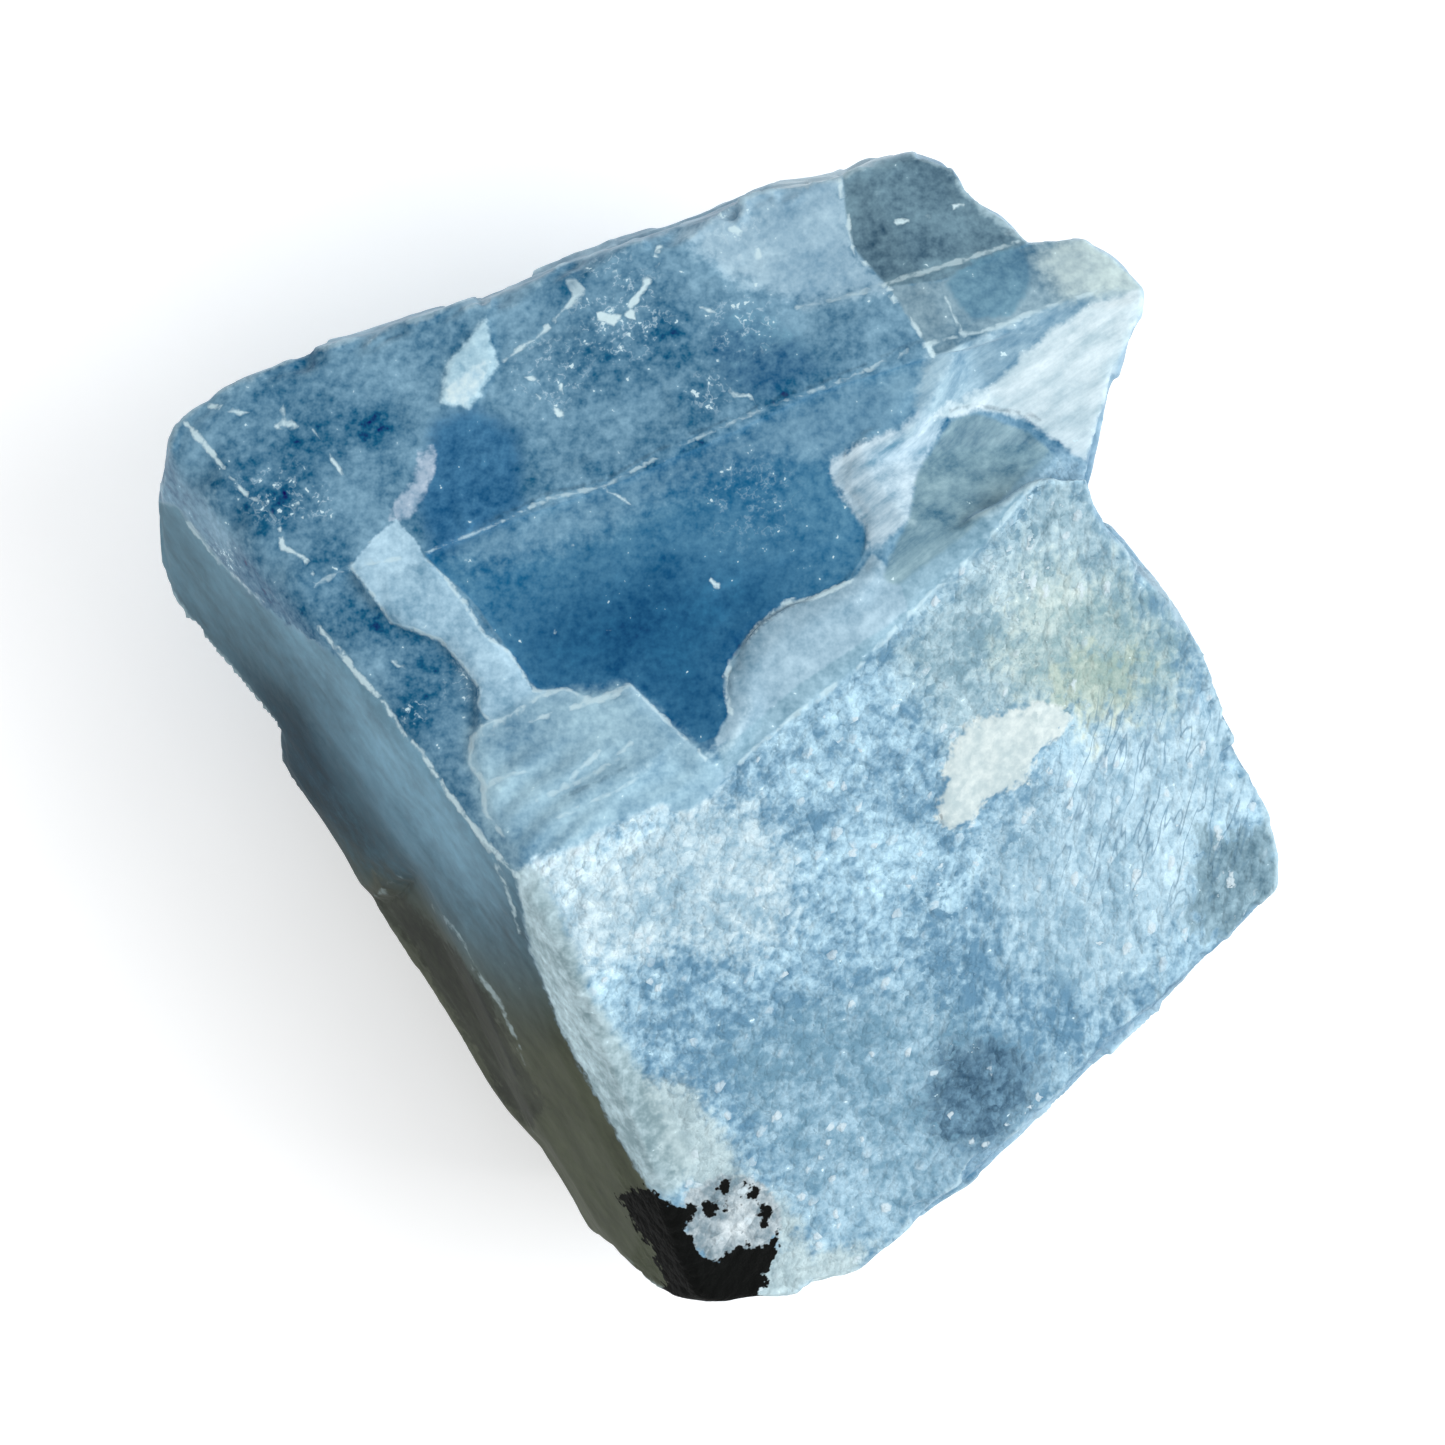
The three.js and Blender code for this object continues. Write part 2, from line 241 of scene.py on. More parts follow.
# The patches on the frosted south face.
SOUTH_PATCHES = {
    "upper": Patch(
        1.2, 2.0, 0.8, (136, 172, 186), (190, 218, 228),
        [(6.7, 2.8), (10.3, 6.8), (13.7, 10.5), (15.3, 8.5), (17.0, 6.2), (19.0, 3.2), (17.7, 0.5),
         (13.0, 0.5), (9.0, -0.8)],
    ),
    "east": Patch(
        1.2, 2.2, 0.9, (146, 186, 208), (200, 232, 248),
        [(11.7, -3.5), (15.0, -0.5), (19.0, 2.2), (21.0, -0.2), (22.0, -3.5), (19.7, -4.2), (19.3, -7.8),
         (15.7, -11.8), (11.7, -9.8), (10.7, -5.8)],
    ),
    "low": Patch(
        1.4, 2.4, 0.85, (116, 160, 184), (174, 210, 230),
        [(-0.3, -13.3), (3.7, -11.2), (7.7, -10.8), (11.3, -13.0), (13.7, -14.5), (12.7, -16.8),
         (7.7, -20.8), (5.0, -21.8), (2.3, -19.2)],
    ),
    "cloud": Patch(
        1.0, 2.4, 0.9, (156, 194, 214), (214, 238, 248),
        [(-8.3, -5.8), (-6.3, -4.8), (-4.0, -4.2), (-1.0, -2.8), (1.3, -3.5), (2.7, -5.5), (2.7, -8.2),
         (0.7, -9.8), (-2.0, -9.2), (-4.7, -9.8), (-6.7, -10.8), (-7.7, -8.5)],
    ),
    "bruise": Patch(
        0.6, 3.0, 0.85, (18, 66, 98), (98, 142, 170),
        [(9.0, -13.5), (11.0, -13.2), (13.0, -14.0), (12.5, -16.0), (10.8, -17.8), (9.2, -17.6),
         (8.2, -15.6)],
    ),
    "corner": Patch(
        0.5, 3.0, 0.9, (76, 114, 132), (134, 168, 184),
        [(19.5, -4.5), (22.6, -4.4), (23.6, -7.0), (21.5, -9.4), (19.6, -8.4), (19.2, -6.2)],
    ),
    "rim": Patch(
        0.35, 0.6, 1.0, (132, 160, 168), (184, 210, 218),
        [(-9.0, -5.2), (-7.3, -6.2), (-6.3, -8.5), (-5.2, -11.2), (-3.8, -13.5), (-2.5, -15.5),
         (-1.2, -17.8), (-2.0, -19.4), (-4.0, -19.0), (-5.3, -17.0), (-6.8, -14.2), (-8.0, -11.0),
         (-8.8, -8.5)],
    ),
    "pale": Patch(
        0.5, 1.2, 0.9, (174, 198, 204), (212, 234, 238),
        [(-3.2, -14.5), (-1.5, -14.8), (0.0, -16.8), (1.0, -18.7), (2.7, -19.8), (3.7, -21.8), (6.0, -21.5),
         (5.7, -24.2), (-0.3, -24.2), (1.3, -22.5), (2.3, -21.2), (1.0, -19.2), (-1.3, -19.2),
         (-2.5, -17.5)],
    ),
    "stain": Patch(
        1.3, 3.4, 0.6, (158, 192, 194), (210, 228, 220),
        [(12.8, 6.6), (15.8, 5.4), (18.2, 3.2), (18.4, 0.8), (15.6, -0.4), (12.4, 0.2), (11.2, 2.4),
         (11.8, 5.2)],
    ),
    "yellow": Patch(
        0.5, 3.2, 0.28, (186, 200, 160), (212, 220, 180),
        [(13.6, 2.2), (14.6, 2.8), (16.8, 2.4), (16.6, 0.8), (15.0, 0.0), (13.4, 0.6)],
    ),
    "crystal": Patch(
        0.15, 0.8, 1.0, (126, 150, 162), (208, 222, 228),
        [(-1.6, -19.2), (0.0, -18.5), (1.6, -18.8), (2.4, -20.2), (1.9, -21.8), (-0.4, -22.4),
         (-1.6, -21.0)],
    ),
    "cream": Patch(
        0.16, 0.9, 1.0, (196, 216, 220), (228, 242, 242),
        [(9.8, -0.2), (9.0, -1.8), (8.7, -3.5), (9.0, -4.3), (10.0, -4.3), (10.3, -3.5), (11.5, -2.8),
         (12.3, -2.5), (12.8, -1.5), (14.4, 0.2), (12.9, 0.8), (11.2, 0.3)],
    ),
}

# The patches on the flank.
FLANK_PATCHES = {
    "band": Patch(
        0.8, 3.0, 0.75, (30, 52, 66), (54, 79, 91),
        [(-19.7, 2.2), (-17.7, 0.5), (-15.3, -2.8), (-13.0, -6.2), (-14.7, -5.8), (-17.0, -2.5),
         (-19.0, 0.2)],
    ),
    # Painted shade: darker in the hollow beside the step across the flank.
    "shaded_hollow": Patch(
        0.2, 1.4, 0.8, (26, 30, 26), (66, 70, 62),
        [(-14.5, -6.3), (-13.3, -7.2), (-12.0, -8.5), (-10.8, -9.8), (-9.7, -11.3), (-9.0, -12.7),
         (-8.2, -14.3), (-7.3, -15.8), (-8.0, -16.8), (-9.2, -15.8), (-10.2, -13.8), (-11.7, -11.5),
         (-13.0, -9.2), (-14.9, -7.2)],
    ),
}

# The black crust at the south corner, with the white crystal that stands in it.
SOOT = [
    [(-4.3, -19.5), (-3.5, -19.0), (-2.8, -19.3), (-2.2, -19.8), (-1.5, -19.7), (-1.0, -20.2),
     (-1.5, -20.8), (-1.0, -21.8), (-0.2, -22.2), (0.5, -21.5), (1.3, -21.5), (2.0, -21.8), (1.8, -22.7),
     (1.4, -25.0), (-2.2, -25.0), (-2.5, -22.7), (-3.0, -21.7), (-3.8, -20.6)],
    [(-0.2, -19.0), (0.3, -18.7), (0.5, -19.3), (0.0, -19.5)],
    [(-0.8, -19.7), (-0.2, -19.5), (-0.2, -20.0), (-0.8, -20.2)],
    [(0.8, -19.0), (1.3, -19.2), (1.3, -19.7), (0.8, -19.5)],
    [(1.3, -19.8), (1.8, -20.0), (1.8, -20.7), (1.5, -20.5)],
    [(1.7, -21.0), (2.2, -21.2), (2.2, -21.8), (1.7, -21.8)],
]

# The frosted face, from the crest to the rim.
SOUTH_SIDE = [
    (-8.6, -6.2), (-7.5, -5.4), (-6.0, -5.0), (-5.0, -4.4), (-4.2, -3.9), (-3.5, -3.7), (-2.5, -3.3),
    (-1.5, -3.7), (-0.3, -2.8), (0.2, -2.0), (1.5, -0.8), (2.8, 0.2), (5.0, 1.8), (6.7, 3.5), (7.8, 4.6),
    (9.0, 5.8), (10.3, 6.9), (11.7, 8.6), (12.8, 9.9), (13.7, 10.9), (15.0, 10.5), (17.3, 6.8), (20.0, 4.2),
    (22.0, -0.5), (24.3, -5.8), (24.0, -8.8), (17.0, -14.5), (7.0, -23.5), (5.3, -25.2), (-4.7, -24.5),
    (-3.6, -21.5), (-4.6, -18.0), (-5.8, -15.8), (-7.2, -12.5), (-8.4, -9.2), (-8.8, -7.2),
]

# The dark face on the south-west, from the edge of the north face to the rim of the frosted one.
FLANK_SIDE = [
    (-26.0, 9.8), (-22.4, 8.8), (-21.3, 7.4), (-20.2, 6.0), (-18.9, 4.8), (-17.6, 3.8), (-16.4, 3.0),
    (-15.5, 2.5), *FLANK_CREST, (-8.4, -6.2), (-7.9, -9.2), (-6.7, -12.5), (-5.2, -15.3), (-3.2, -18.9),
    (-1.5, -21.0), (-1.0, -26.0), (-26.0, -26.0),
]

# The edge between the north face and the flank, worn round.
WORN_EDGE = [
    (-23.0, 13.6), (-21.0, 11.0), (-18.2, 7.4), (-16.4, 4.0), (-13.6, 0.2), (-11.2, -2.8), (-8.6, -6.0),
]

# A step across the flank, worn round too.
WORN_STEP = [
    (-16.4, -4.6), (-14.8, -5.8), (-13.2, -6.6), (-11.4, -6.6),
]

# Thin flakes on the north face: how thick each is, negative where one is missing, and its outline.
FLAKES = [
    (0.12, NORTH_PATCHES["patch"].outline),
    (-0.10, [(3.0, 16.8), (6.7, 17.8), (12.0, 19.5), (12.0, 25.0), (-2.0, 25.0), (-2.0, 20.0),
             (0.3, 18.0)]),
    (0.07, [(-10.2, -0.2), (-8.8, 0.5), (-7.5, 1.0), (-6.0, 0.7), (-4.0, 1.4), (-1.8, -0.5), (0.2, -2.2),
            (0.6, -3.0), (-8.6, -7.2), (-8.8, -5.5), (-9.7, -3.7), (-9.7, -2.5), (-10.3, -1.5)]),
]

# Lines of crushed white crystal along an edge or a step, with a painted highlight along one lit step,
# and flecks: half width, strength and points.
WHITE_LINES = [
    (0.06, 0.85, [(-22.0, 12.2), (-21.0, 11.1), (-20.2, 10.0), (-19.4, 9.2), (-18.7, 8.9), (-18.1, 7.8),
        (-17.9, 7.0), (-17.0, 6.7), (-16.7, 5.5)]),
    (0.04, 0.8, [(-21.0, 12.9), (-19.7, 12.6), (-18.7, 12.2), (-18.1, 11.9), (-17.4, 12.1)]),
    (0.04, 0.8, [(-18.6, 8.6), (-17.2, 8.9)]),
    (0.07, 0.85, [(-16.5, 3.8), (-15.5, 2.7), *FLANK_CREST, (-8.3, -6.3)]),
    (0.04, 0.6, [(-22.0, 8.2), (-21.3, 7.3), (-20.5, 6.3), (-19.8, 5.7), (-18.8, 4.8)]),
    # Painted highlight: the lit riser of the step along the north edge of the pane.
    (0.03, 0.5, [(-16.7, 5.5), (-15.2, 6.3), (-12.2, 6.8), (-9.7, 7.8), (-7.2, 9.0), (-4.7, 9.6),
        (-2.2, 11.0), (0.3, 12.1), (2.0, 12.8), (4.5, 13.7), (7.0, 14.8), (8.3, 15.3), (11.2, 16.0),
        (13.7, 17.0), (16.2, 17.7)]),
    (0.03, 0.5, [(3.0, 16.8), (5.3, 17.3), (6.7, 17.8), (9.0, 18.5), (12.0, 19.5)]),
    (0.05, 0.9, [(7.0, 20.3), (8.4, 20.6), (9.7, 21.0)]),
    (0.06, 0.75, [(4.7, 22.0), (5.0, 20.5), (5.3, 19.2), (6.0, 18.3), (6.7, 17.5), (7.3, 16.5), (8.0, 15.7),
        (8.5, 14.8)]),
    (0.03, 0.6, [(9.0, 17.3), (9.7, 15.5)]),
    (0.05, 0.9, [(-16.9, 12.1), (-16.5, 11.4), (-15.8, 10.5), (-15.2, 9.7)]),
    (0.06, 0.7, [(-18.0, 12.9), (-17.7, 12.2)]),
    (0.03, 0.8, [(-5.0, 9.5), (-3.9, 8.9), (-3.5, 8.3)]),
    (0.04, 0.55, [(-14.0, 7.7), *VEIN_WEST[::-1]]),
    (0.04, 0.6, VEIN_EAST),
    (0.05, 0.6, [(-9.8, -0.2), (-8.7, 0.2), (-7.5, 1.0), (-6.5, 1.3)]),
    (0.05, 0.6, [(-10.1, -0.8), (-8.7, -0.3), (-7.2, 0.2), (-5.7, 0.7), (-5.0, 0.9), (-4.0, 1.5)]),
    (0.03, 0.45, [(-9.6, -2.6), (-8.8, -2.2), (-8.0, -2.0)]),
    (0.04, 0.5, [(-6.5, -2.6), (-6.0, -2.1), (-5.3, -1.5), (-5.0, -1.2)]),
    (0.03, 0.45, [(-7.5, -3.2), (-6.7, -2.8), (-6.0, -2.5), (-5.2, -2.1), (-4.3, -1.5), (-3.7, -0.8)]),
    (0.03, 0.45, [(-6.7, -3.9), (-5.5, -3.3), (-4.3, -2.8), (-3.5, -2.3)]),
    (0.06, 0.7, [(0.3, 0.2), *TONGUE_WEST]),
    (0.03, 0.35, [(-12.0, -7.6), (-10.8, -8.8), (-10.2, -10.2), (-9.2, -11.5), (-8.8, -12.5), (-8.3, -13.8),
        (-8.0, -15.2)]),
    (0.03, 0.5, [(-9.9, -4.4), (-8.7, -6.9), (-8.3, -8.6)]),
    (0.05, 0.45, [(0.6, -1.7), (2.8, 0.2), (5.0, 1.8), (7.8, 4.6), (10.3, 6.9), (12.8, 9.9)]),
    (0.16, 1.0, [(-5.0, 16.5), (-4.4, 16.3)]),
    (0.14, 1.0, [(-5.4, 15.4), (-5.0, 15.2)]),
    (0.12, 1.0, [(-6.7, 13.6), (-6.4, 13.4)]),
    (0.10, 0.9, [(-8.1, 14.2), (-7.7, 13.9)]),
    (0.08, 0.9, [(-2.6, 19.3), (-2.9, 18.5), (-3.1, 17.9), (-3.4, 17.4), (-3.8, 16.9)]),
    (0.05, 0.8, [(-4.4, 18.3), (-3.1, 17.9)]),
    (0.06, 0.8, [(-9.0, 14.7), (-8.1, 15.3), (-7.2, 16.0), (-6.5, 16.7), (-6.0, 17.4)]),
    (0.22, 0.6, [(-6.2, 17.9), (-5.8, 17.3)]),
    (0.12, 0.8, [(-13.4, 2.6), (-13.0, 2.2)]),
    (0.06, 0.8, [(-17.8, 8.9), (-17.2, 8.3)]),
    (0.10, 0.9, [(2.0, 21.9), (2.4, 21.9)]),
    (0.12, 1.0, [(-3.8, 16.6), (-3.5, 16.4)]),
    (0.08, 0.9, [(-4.5, 15.1), (-4.3, 15.2)]),
    (0.10, 1.0, [(-6.9, 12.7), (-6.5, 12.4)]),
    (0.07, 0.9, [(-7.8, 13.2), (-7.5, 13.1)]),
    (0.09, 0.9, [(-0.9, 16.8), (-0.4, 16.6)]),
    (0.05, 0.8, [(0.0, 13.7), (0.3, 13.2), (1.0, 13.3), (1.2, 12.8)]),
    (0.12, 0.8, [(0.4, 20.0), (0.6, 19.9)]),
    (0.07, 0.8, [(1.4, 19.1), (1.4, 18.9)]),
    (0.08, 0.9, [(-6.9, 4.0), (-6.9, 3.7)]),
    (0.05, 0.9, [(-4.8, 3.8), (-4.6, 3.7)]),
    (0.07, 0.9, [(-0.5, 5.7), (-0.3, 5.5)]),
    (0.06, 0.8, [(-1.4, 7.6), (-1.2, 7.4)]),
    (0.06, 0.8, [(-6.4, 7.2), (-6.2, 7.1)]),
]

# Painted shade: thin dark lines along steps and the east edge, where shade falls: half width, strength and
# points.
SHADE_LINES = [
    (0.04, 0.4, [(-9.8, 8.0), (-7.3, 9.2), (-4.8, 9.8), (-2.3, 11.2), (0.2, 12.3), (1.9, 13.0), (4.4, 13.9),
        (6.9, 15.0), (8.2, 15.5)]),
    (0.05, 0.5, [(9.2, 12.6), (10.3, 12.8), (12.4, 12.5), (12.9, 12.2)]),
    (0.03, 0.35, [(-6.6, -3.1), (-5.2, -2.5), (-3.9, -1.8)]),
    (0.06, 0.6, [(16.6, 6.6), (17.6, 5.6), (18.6, 4.4)]),
    (0.06, 0.5, [(-12.0, -8.4), (-10.9, -9.8), (-9.9, -11.6), (-9.2, -13.2), (-8.6, -14.6)]),
]

# Where flecks and scratches are thick on the north face: centre, reach and how thick.
SCUFFS = [
    ((-4.2, 16.6), 3.2, 0.8), ((-4.6, 18.4), 1.6, 0.7), ((0.8, 16.2), 2.4, 0.6), ((-0.6, 13.4), 1.6, 0.6),
    ((-18.4, 9.4), 2.6, 0.5), ((-16.6, 9.0), 1.2, 0.8), ((-10.6, 1.6), 2.0, 0.4), ((-12.6, 0.4), 0.9, 0.9),
    ((1.0, 9.0), 4.0, 0.35), ((-7.0, 14.2), 2.6, 0.6), ((0.4, 19.8), 2.4, 0.5), ((-20.6, 6.6), 1.4, 0.6),
]


def along(points, line, closed=False):
    """The distance of each point of the plan from a line."""
    ends = line[1:] + line[:1] if closed else line[1:]
    best = np.full(len(points), np.inf)
    for a, b in zip(line, ends):
        a, b = np.array(a), np.array(b)
        t = np.clip((points - a) @ (b - a) / ((b - a) @ (b - a)), 0, 1)
        best = np.minimum(best, np.linalg.norm(points - a - t[:, None] * (b - a), axis=1))
    return best


def within(points, outline):
    """How far each point of the plan lies inside a closed outline, negative outside."""
    odd = np.zeros(len(points), bool)
    for (ax, ay), (bx, by) in zip(outline, outline[1:] + outline[:1]):
        spans = (ay > points[:, 1]) != (by > points[:, 1])
        if ay != by:
            odd ^= spans & (points[:, 0] < (bx - ax) * (points[:, 1] - ay) / (by - ay) + ax)
    return np.where(odd, 1, -1) * along(points, outline, closed=True)


def over(points, face):
    """How far each point lies over the plane of a face, negative under it."""
    return (points - face.point) @ face.normal


def ramp(x, start, end):
    """Goes smoothly from 0 where x is at the start to 1 at the end, whichever is the greater."""
    t = np.clip((x - start) / (end - start), 0, 1)
    return t * t * (3 - 2 * t)


def near(points, centre, far, close):
    """Rises from 0 where a point of the plan is this far from a centre to 1 where it is this close."""
    return ramp(np.linalg.norm(points - centre, axis=1), far, close)


# ---- Noise -----------------------------------------------

rng = np.random.default_rng(11)
LATTICE = rng.random((CELLS, CELLS, CELLS)).astype(np.float32)
TURN = np.linalg.qr(rng.normal(size=(3, 3)))[0]


def noise(points, size, seed=0):
    """Smooth noise from -1 to 1 whose lumps are about size across."""
    q = points @ TURN / size + SEED_STEP * (seed + 1)
    i = np.floor(q).astype(int)
    f = q - i
    f = f * f * (3 - 2 * f)
    i %= CELLS
    j = (i + 1) % CELLS
    total = 0
    for x, wx in ((i[:, 0], 1 - f[:, 0]), (j[:, 0], f[:, 0])):
        for y, wy in ((i[:, 1], 1 - f[:, 1]), (j[:, 1], f[:, 1])):
            for z, wz in ((i[:, 2], 1 - f[:, 2]), (j[:, 2], f[:, 2])):
                total = total + LATTICE[x, y, z] * wx * wy * wz
    return 2 * total - 1


def rough(points, size, seed=0, octaves=4, fade=0.5):
    """Noise with finer and weaker noise on it."""
    return sum(noise(points, size / 2**k, seed + 7 * k) * fade**k for k in range(octaves))


def blocks(u, v, wide, long, seed=0):
    """A random number from -1 to 1 for each cleavage block of a wall, by its place along two directions."""
    i = np.floor(u / wide).astype(int)
    j = np.floor(v / long + 0.37 * i).astype(int)  # so that the joints of two rows don't line up
    return 2 * LATTICE[i % CELLS, j % CELLS, 5 * seed % CELLS] - 1


def standard(values):
    """The values moved and scaled to a mean of 0 and a deviation of 1."""
    return (values - values.mean()) / values.std()


# ---- Meshes and their vertices ---------------------------


def shown(name, data):
    """A new object in the scene."""
    made = bpy.data.objects.new(name, data)
    bpy.context.scene.collection.objects.link(made)
    return made


def applied(mesh, kind, **settings):
    """A copy of the mesh with one modifier applied."""
    holder = shown("holder", mesh)
    modifier = holder.modifiers.new(kind, kind)
    for name, value in settings.items():
        setattr(modifier, name, value)
    made = bpy.data.meshes.new_from_object(holder.evaluated_get(bpy.context.evaluated_depsgraph_get()))
    bpy.data.objects.remove(holder)
    return made


def places(mesh):
    xyz = np.empty(len(mesh.vertices) * 3, np.float32)
    mesh.vertices.foreach_get("co", xyz)
    return xyz.reshape(-1, 3).astype(float) / MM


def put(mesh, xyz):
    mesh.vertices.foreach_set("co", (xyz * MM).astype(np.float32).ravel())
    mesh.update()


def normals(mesh):
    out = np.empty(len(mesh.vertices) * 3, np.float32)
    mesh.vertices.foreach_get("normal", out)
    return out.reshape(-1, 3).astype(float)


def edges(mesh):
    pairs = np.empty(len(mesh.edges) * 2, np.int32)
    mesh.edges.foreach_get("vertices", pairs)
    return pairs.reshape(-1, 2)


def unit(vectors):
    return vectors / np.linalg.norm(vectors, axis=1)[:, None]


def smoothed(values, pairs, rounds, share=0.6):
    """Each value moved a share of the way to its neighbours' mean, in every round."""
    values = np.array(values, float)
    flat = values.reshape(len(values), -1)
    count = np.bincount(pairs.ravel(), minlength=len(flat))[:, None]
    for _ in range(rounds):
        total = np.stack(
            [
                np.bincount(pairs[:, 0], column[pairs[:, 1]], len(flat))
                + np.bincount(pairs[:, 1], column[pairs[:, 0]], len(flat))
                for column in flat.T
            ],
            axis=1,
        )
        flat = (1 - share) * flat + share * total / count
    return flat.reshape(values.shape)


class Surface:
    """Where a mesh's vertices lie in the plan of the lists, and the cleavage that runs through them."""

    def __init__(self, at, out):
        self.at, self.out = at, out
        self.plan, self.height = at[:, :2], at[:, 2]
        self.up = ramp(out[:, 2], 0.35, 0.7)
        self.warp = 0.35 * noise(at, 3.5, seed=3)
        self.layer, self.run = at @ LAYERS, at @ LAYER_RUN
        self.large = blocks(self.layer + self.warp, self.run + 2 * self.warp, 2.9, 6.3, seed=1)
        self.small = blocks(self.layer + self.warp, self.run - 2 * self.warp, 1.1, 3.7, seed=2)

    def like(self, face, tolerance):
        """1 where the surface faces as a face of the CAD model does."""
        return ramp(self.out @ face.normal, 1 - 2 * tolerance, 1 - tolerance)


# ---- The mesh of the stone -------------------------------


def rounding(at):
    """How far each place is worn round, from 0 to 1: on the west edge, and on the step across the flank."""
    plan, height = at[:, :2], at[:, 2]
    edge = 0.9 * ramp(along(plan, WORN_EDGE), 2.4, 0.8) * ramp(height, 10.0, 14.0)
    step = ramp(along(plan, WORN_STEP), 1.8, 0.9) * ramp(height, 3.0, 5.0) * ramp(height, 17.5, 16.0)
    return np.maximum(edge, step)


def pane_fill(surface):
    """The part of the pane's depth under the north face that is taken away, a vector for each vertex."""
    depth = over(surface.at, NORTH_FACE)
    share = ramp(within(surface.plan, NORTH_PATCHES["pane"].outline), -1.4, -0.6)
    share *= ramp(within(surface.plan, SOUTH_SIDE), 0.0, -0.4)
    share *= ramp(depth, -1.6, -1.0) * (depth < 0.3)
    return PANE_FILL * (share * depth)[:, None] * NORTH_FACE.normal


def recess_fill(surface, flank, pairs):
    """The same for the recess down the flank."""
    depth = over(surface.at, FLANK_FACE)
    inside = ramp(within(surface.plan, FLANK_SIDE), -0.4, 0.4)
    share = flank * inside * ramp(depth, -1.9, -1.3) * (depth < 0)
    return RECESS_FILL * smoothed(share * depth, pairs, 12)[:, None] * FLANK_FACE.normal


def add_wall_relief(move, surface, flank):
    """Blocks left at different depths, with thin layers between them, fainter on the flank."""
    wall = 1 - surface.up
    broken = wall * (1 - 0.85 * flank) * ramp(surface.height, 0.4, 1.6)
    plates = surface.layer * 0.4 + surface.at @ FLANK_AWAY + surface.warp
    move += 0.25 * wall * ramp(surface.height, 0.0, 2.0) * ramp(surface.height, 22.0, 16.0)
    move += broken * 0.22 * surface.large
    move += broken * 0.12 * surface.small
    move += broken * 0.10 * rough(surface.at, 1.6, seed=9, octaves=3)
    move += flank * 0.03 * blocks(plates, surface.run, 1.7, 14.0, seed=3)
    move += flank * 0.02 * rough(surface.at, 2.4, seed=5, octaves=3)


def add_north_relief(move, surface, north):
    """Flakes, and fine steps along the cleavage."""
    wavy = 0.12 * noise(surface.at, 0.9, seed=4)
    for thick, outline in FLAKES:
        move += north * thick * ramp(within(surface.plan, outline) + wavy, -0.08, 0.08)
    across, along_them = surface.at @ STEPS + 0.2 * surface.warp, surface.at @ STEP_RUN + surface.warp
    move += north * 0.03 * blocks(across, along_them, 1.7, 6.0, seed=4)
    move += north * 0.012 * rough(surface.at, 0.8, seed=2, octaves=2)


def add_south_relief(move, surface, south):
    """Frost, with fine upright ribs towards the east, and the cream flake."""
    east, north = surface.plan.T
    ribs = ramp(east, 7.0, 13.0) * ramp(north, 3.0, -4.0)
    cream = within(surface.plan, SOUTH_PATCHES["cream"].outline) + 0.2 * noise(surface.at, 0.8, seed=6)
    frost = 0.035 * rough(surface.at, 1.3, seed=6, octaves=3)
    swells = 0.05 * rough(surface.at, 5.0, seed=8, octaves=2)
    move += south * (frost + swells)
    move += south * ribs * 0.05 * noise(surface.at * (1, 0.16, 0.16), 0.45, seed=12)
    move += south * 0.12 * ramp(cream, -0.1, 0.1)


def add_ripples(move, surface):
    """The ripples of a shell-like break where the vein meets the crest."""
    reach = np.linalg.norm(surface.plan - RIPPLE_CENTRE, axis=1) + 0.3 * noise(surface.at, 2.0, seed=13)
    inside = ramp(within(surface.plan, NORTH_PATCHES["vein"].outline), 0.0, 1.2)
    inside *= ramp(surface.plan[:, 1], -0.2, -1.8)
    move += inside * 0.08 * np.sin(2 * math.pi * reach / RIPPLE_PITCH)


def dressed(node):
    """A fine mesh of the CAD node: worn round, lifted, moved along its normals, and thinned out again."""
    plain = node.data.copy()
    plain.transform(node.matrix_world)
    mesh = applied(plain, "REMESH", mode="VOXEL", voxel_size=VOXEL * MM)
    xyz, pairs = places(mesh), edges(mesh)
    rounded = rounding(xyz - SHIFT)
    xyz += rounded[:, None] * (smoothed(xyz, pairs, 60) - xyz)
    put(mesh, smoothed(xyz, pairs, 2))
    out = unit(smoothed(normals(mesh), pairs, 4))
    # 1 along an edge that stands proud.
    convex = ramp(((xyz - smoothed(xyz, pairs, 30)) * out).sum(1), 0.03, 0.25)

    surface = Surface(xyz - SHIFT, out)
    flank = surface.like(FLANK_FACE, 0.08)
    xyz -= pane_fill(surface)
    xyz -= recess_fill(surface, flank, pairs)
    move = 0.10 * rough(surface.at, 9.0, seed=1, octaves=3)  # how far each vertex moves along its normal
    add_wall_relief(move, surface, flank)
    add_north_relief(move, surface, surface.like(NORTH_FACE, 0.03))
    add_south_relief(move, surface, surface.like(SOUTH_FACE, 0.05))
    add_ripples(move, surface)
    chips = ramp(rough(surface.at, 1.5, seed=14, octaves=4), -0.1, 0.9)
    move -= convex * (0.04 + 0.26 * chips) * (1 - 0.8 * rounded)
    move *= ramp(surface.height, 0.05, 0.6)  # the resting face stays flat
    moved = smoothed(xyz + out * move[:, None], pairs, 1)
    moved[:, 2] = np.maximum(moved[:, 2], 0)
    put(mesh, moved)

    triangles = sum(len(p.vertices) - 2 for p in mesh.polygons)
    mesh = applied(mesh, "DECIMATE", ratio=MOST_TRIANGLES / triangles)
    for polygon in mesh.polygons:
        polygon.use_smooth = True
    return mesh


# ---- What the mesh keeps for the material ----------------

PATCHES = NORTH_PATCHES | SOUTH_PATCHES | FLANK_PATCHES
MARKS = {"marks_%d" % (k // 3): list(PATCHES)[k : k + 3] for k in range(0, len(PATCHES), 3)}


def keep(mesh, name, *columns):
    """Stores up to three values per vertex for the material."""
    data = np.zeros((len(mesh.vertices), 3), np.float32)
    for k, column in enumerate(columns):
        data[:, k] = np.clip(column, -4, 4)
    made = mesh.attributes.new(name, "FLOAT_VECTOR", "POINT")
    made.data.foreach_set("vector", data.ravel())


